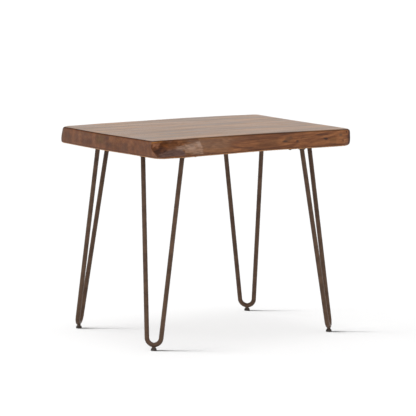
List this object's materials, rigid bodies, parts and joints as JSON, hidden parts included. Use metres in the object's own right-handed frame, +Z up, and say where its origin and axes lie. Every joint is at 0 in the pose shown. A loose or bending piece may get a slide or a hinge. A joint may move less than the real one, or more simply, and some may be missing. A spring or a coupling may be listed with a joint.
{
  "type": "side table",
  "caption": "Low rectangular side table: thick live-edge hardwood top on two-rod hairpin legs with screw-adjustable levelling feet.",
  "frame": {"origin": "on the floor, under the middle of the top's box", "axes": "+X along the length and the grain of the top, +Y towards the back, +Z up; the natural edge with the hollow faces -Y and the hollow is at its -X end"},
  "size_m": [0.6433, 0.5169, 0.559],
  "materials": {
    "wood": "satin, dark walnut stain",
    "leg_metal": "satin, dark bronze",
    "screw_metal": "satin, blackened",
    "foot_metal": "dull zinc",
    "foot_pad": "matt, dark brown"
  },
  "bodies": {
    "table": {"tabletop": "wood", "plate_front_left": "leg_metal", "plate_front_right": "leg_metal", "plate_back_right": "leg_metal", "plate_back_left": "leg_metal", "hairpin_front_left": "leg_metal", "hairpin_front_right": "leg_metal", "hairpin_back_right": "leg_metal", "hairpin_back_left": "leg_metal", "screws_front_left": "screw_metal", "screws_front_right": "screw_metal", "screws_back_right": "screw_metal", "screws_back_left": "screw_metal"},
    "front_left_pad": {"pad_front_left": "foot_pad"},
    "front_left_stud": {"stud_front_left": "foot_metal"},
    "front_right_pad": {"pad_front_right": "foot_pad"},
    "front_right_stud": {"stud_front_right": "foot_metal"},
    "back_right_pad": {"pad_back_right": "foot_pad"},
    "back_right_stud": {"stud_back_right": "foot_metal"},
    "back_left_pad": {"pad_back_left": "foot_pad"},
    "back_left_stud": {"stud_back_left": "foot_metal"}
  },
  "joints": [
    {"name": "front_left_foot_travel", "type": "slide", "parent": "table", "child": "front_left_pad", "axis": [0, 0, -1], "range_m": [0, 0.006]},
    {"name": "front_left_foot_turn", "type": "hinge", "parent": "front_left_pad", "child": "front_left_stud", "pos_m": [-0.27787, -0.19092, 0.0087], "axis": [0, 0, -1], "range_deg": [0, 2160]},
    {"name": "front_right_foot_travel", "type": "slide", "parent": "table", "child": "front_right_pad", "axis": [0, 0, -1], "range_m": [0, 0.006]},
    {"name": "front_right_foot_turn", "type": "hinge", "parent": "front_right_pad", "child": "front_right_stud", "pos_m": [0.28104, -0.19629, 0.0087], "axis": [0, 0, -1], "range_deg": [0, 2160]},
    {"name": "back_right_foot_travel", "type": "slide", "parent": "table", "child": "back_right_pad", "axis": [0, 0, -1], "range_m": [0, 0.006]},
    {"name": "back_right_foot_turn", "type": "hinge", "parent": "back_right_pad", "child": "back_right_stud", "pos_m": [0.28104, 0.20829, 0.0087], "axis": [0, 0, -1], "range_deg": [0, 2160]},
    {"name": "back_left_foot_travel", "type": "slide", "parent": "table", "child": "back_left_pad", "axis": [0, 0, -1], "range_m": [0, 0.006]},
    {"name": "back_left_foot_turn", "type": "hinge", "parent": "back_left_pad", "child": "back_left_stud", "pos_m": [-0.27304, 0.20829, 0.0087], "axis": [0, 0, -1], "range_deg": [0, 2160]}
  ],
  "couplings": [
    {"joint": "front_left_foot_turn", "follows": "front_left_foot_travel", "rad_per_m": 6283},
    {"joint": "front_right_foot_turn", "follows": "front_right_foot_travel", "rad_per_m": 6283},
    {"joint": "back_right_foot_turn", "follows": "back_right_foot_travel", "rad_per_m": 6283},
    {"joint": "back_left_foot_turn", "follows": "back_left_foot_travel", "rad_per_m": 6283}
  ]
}
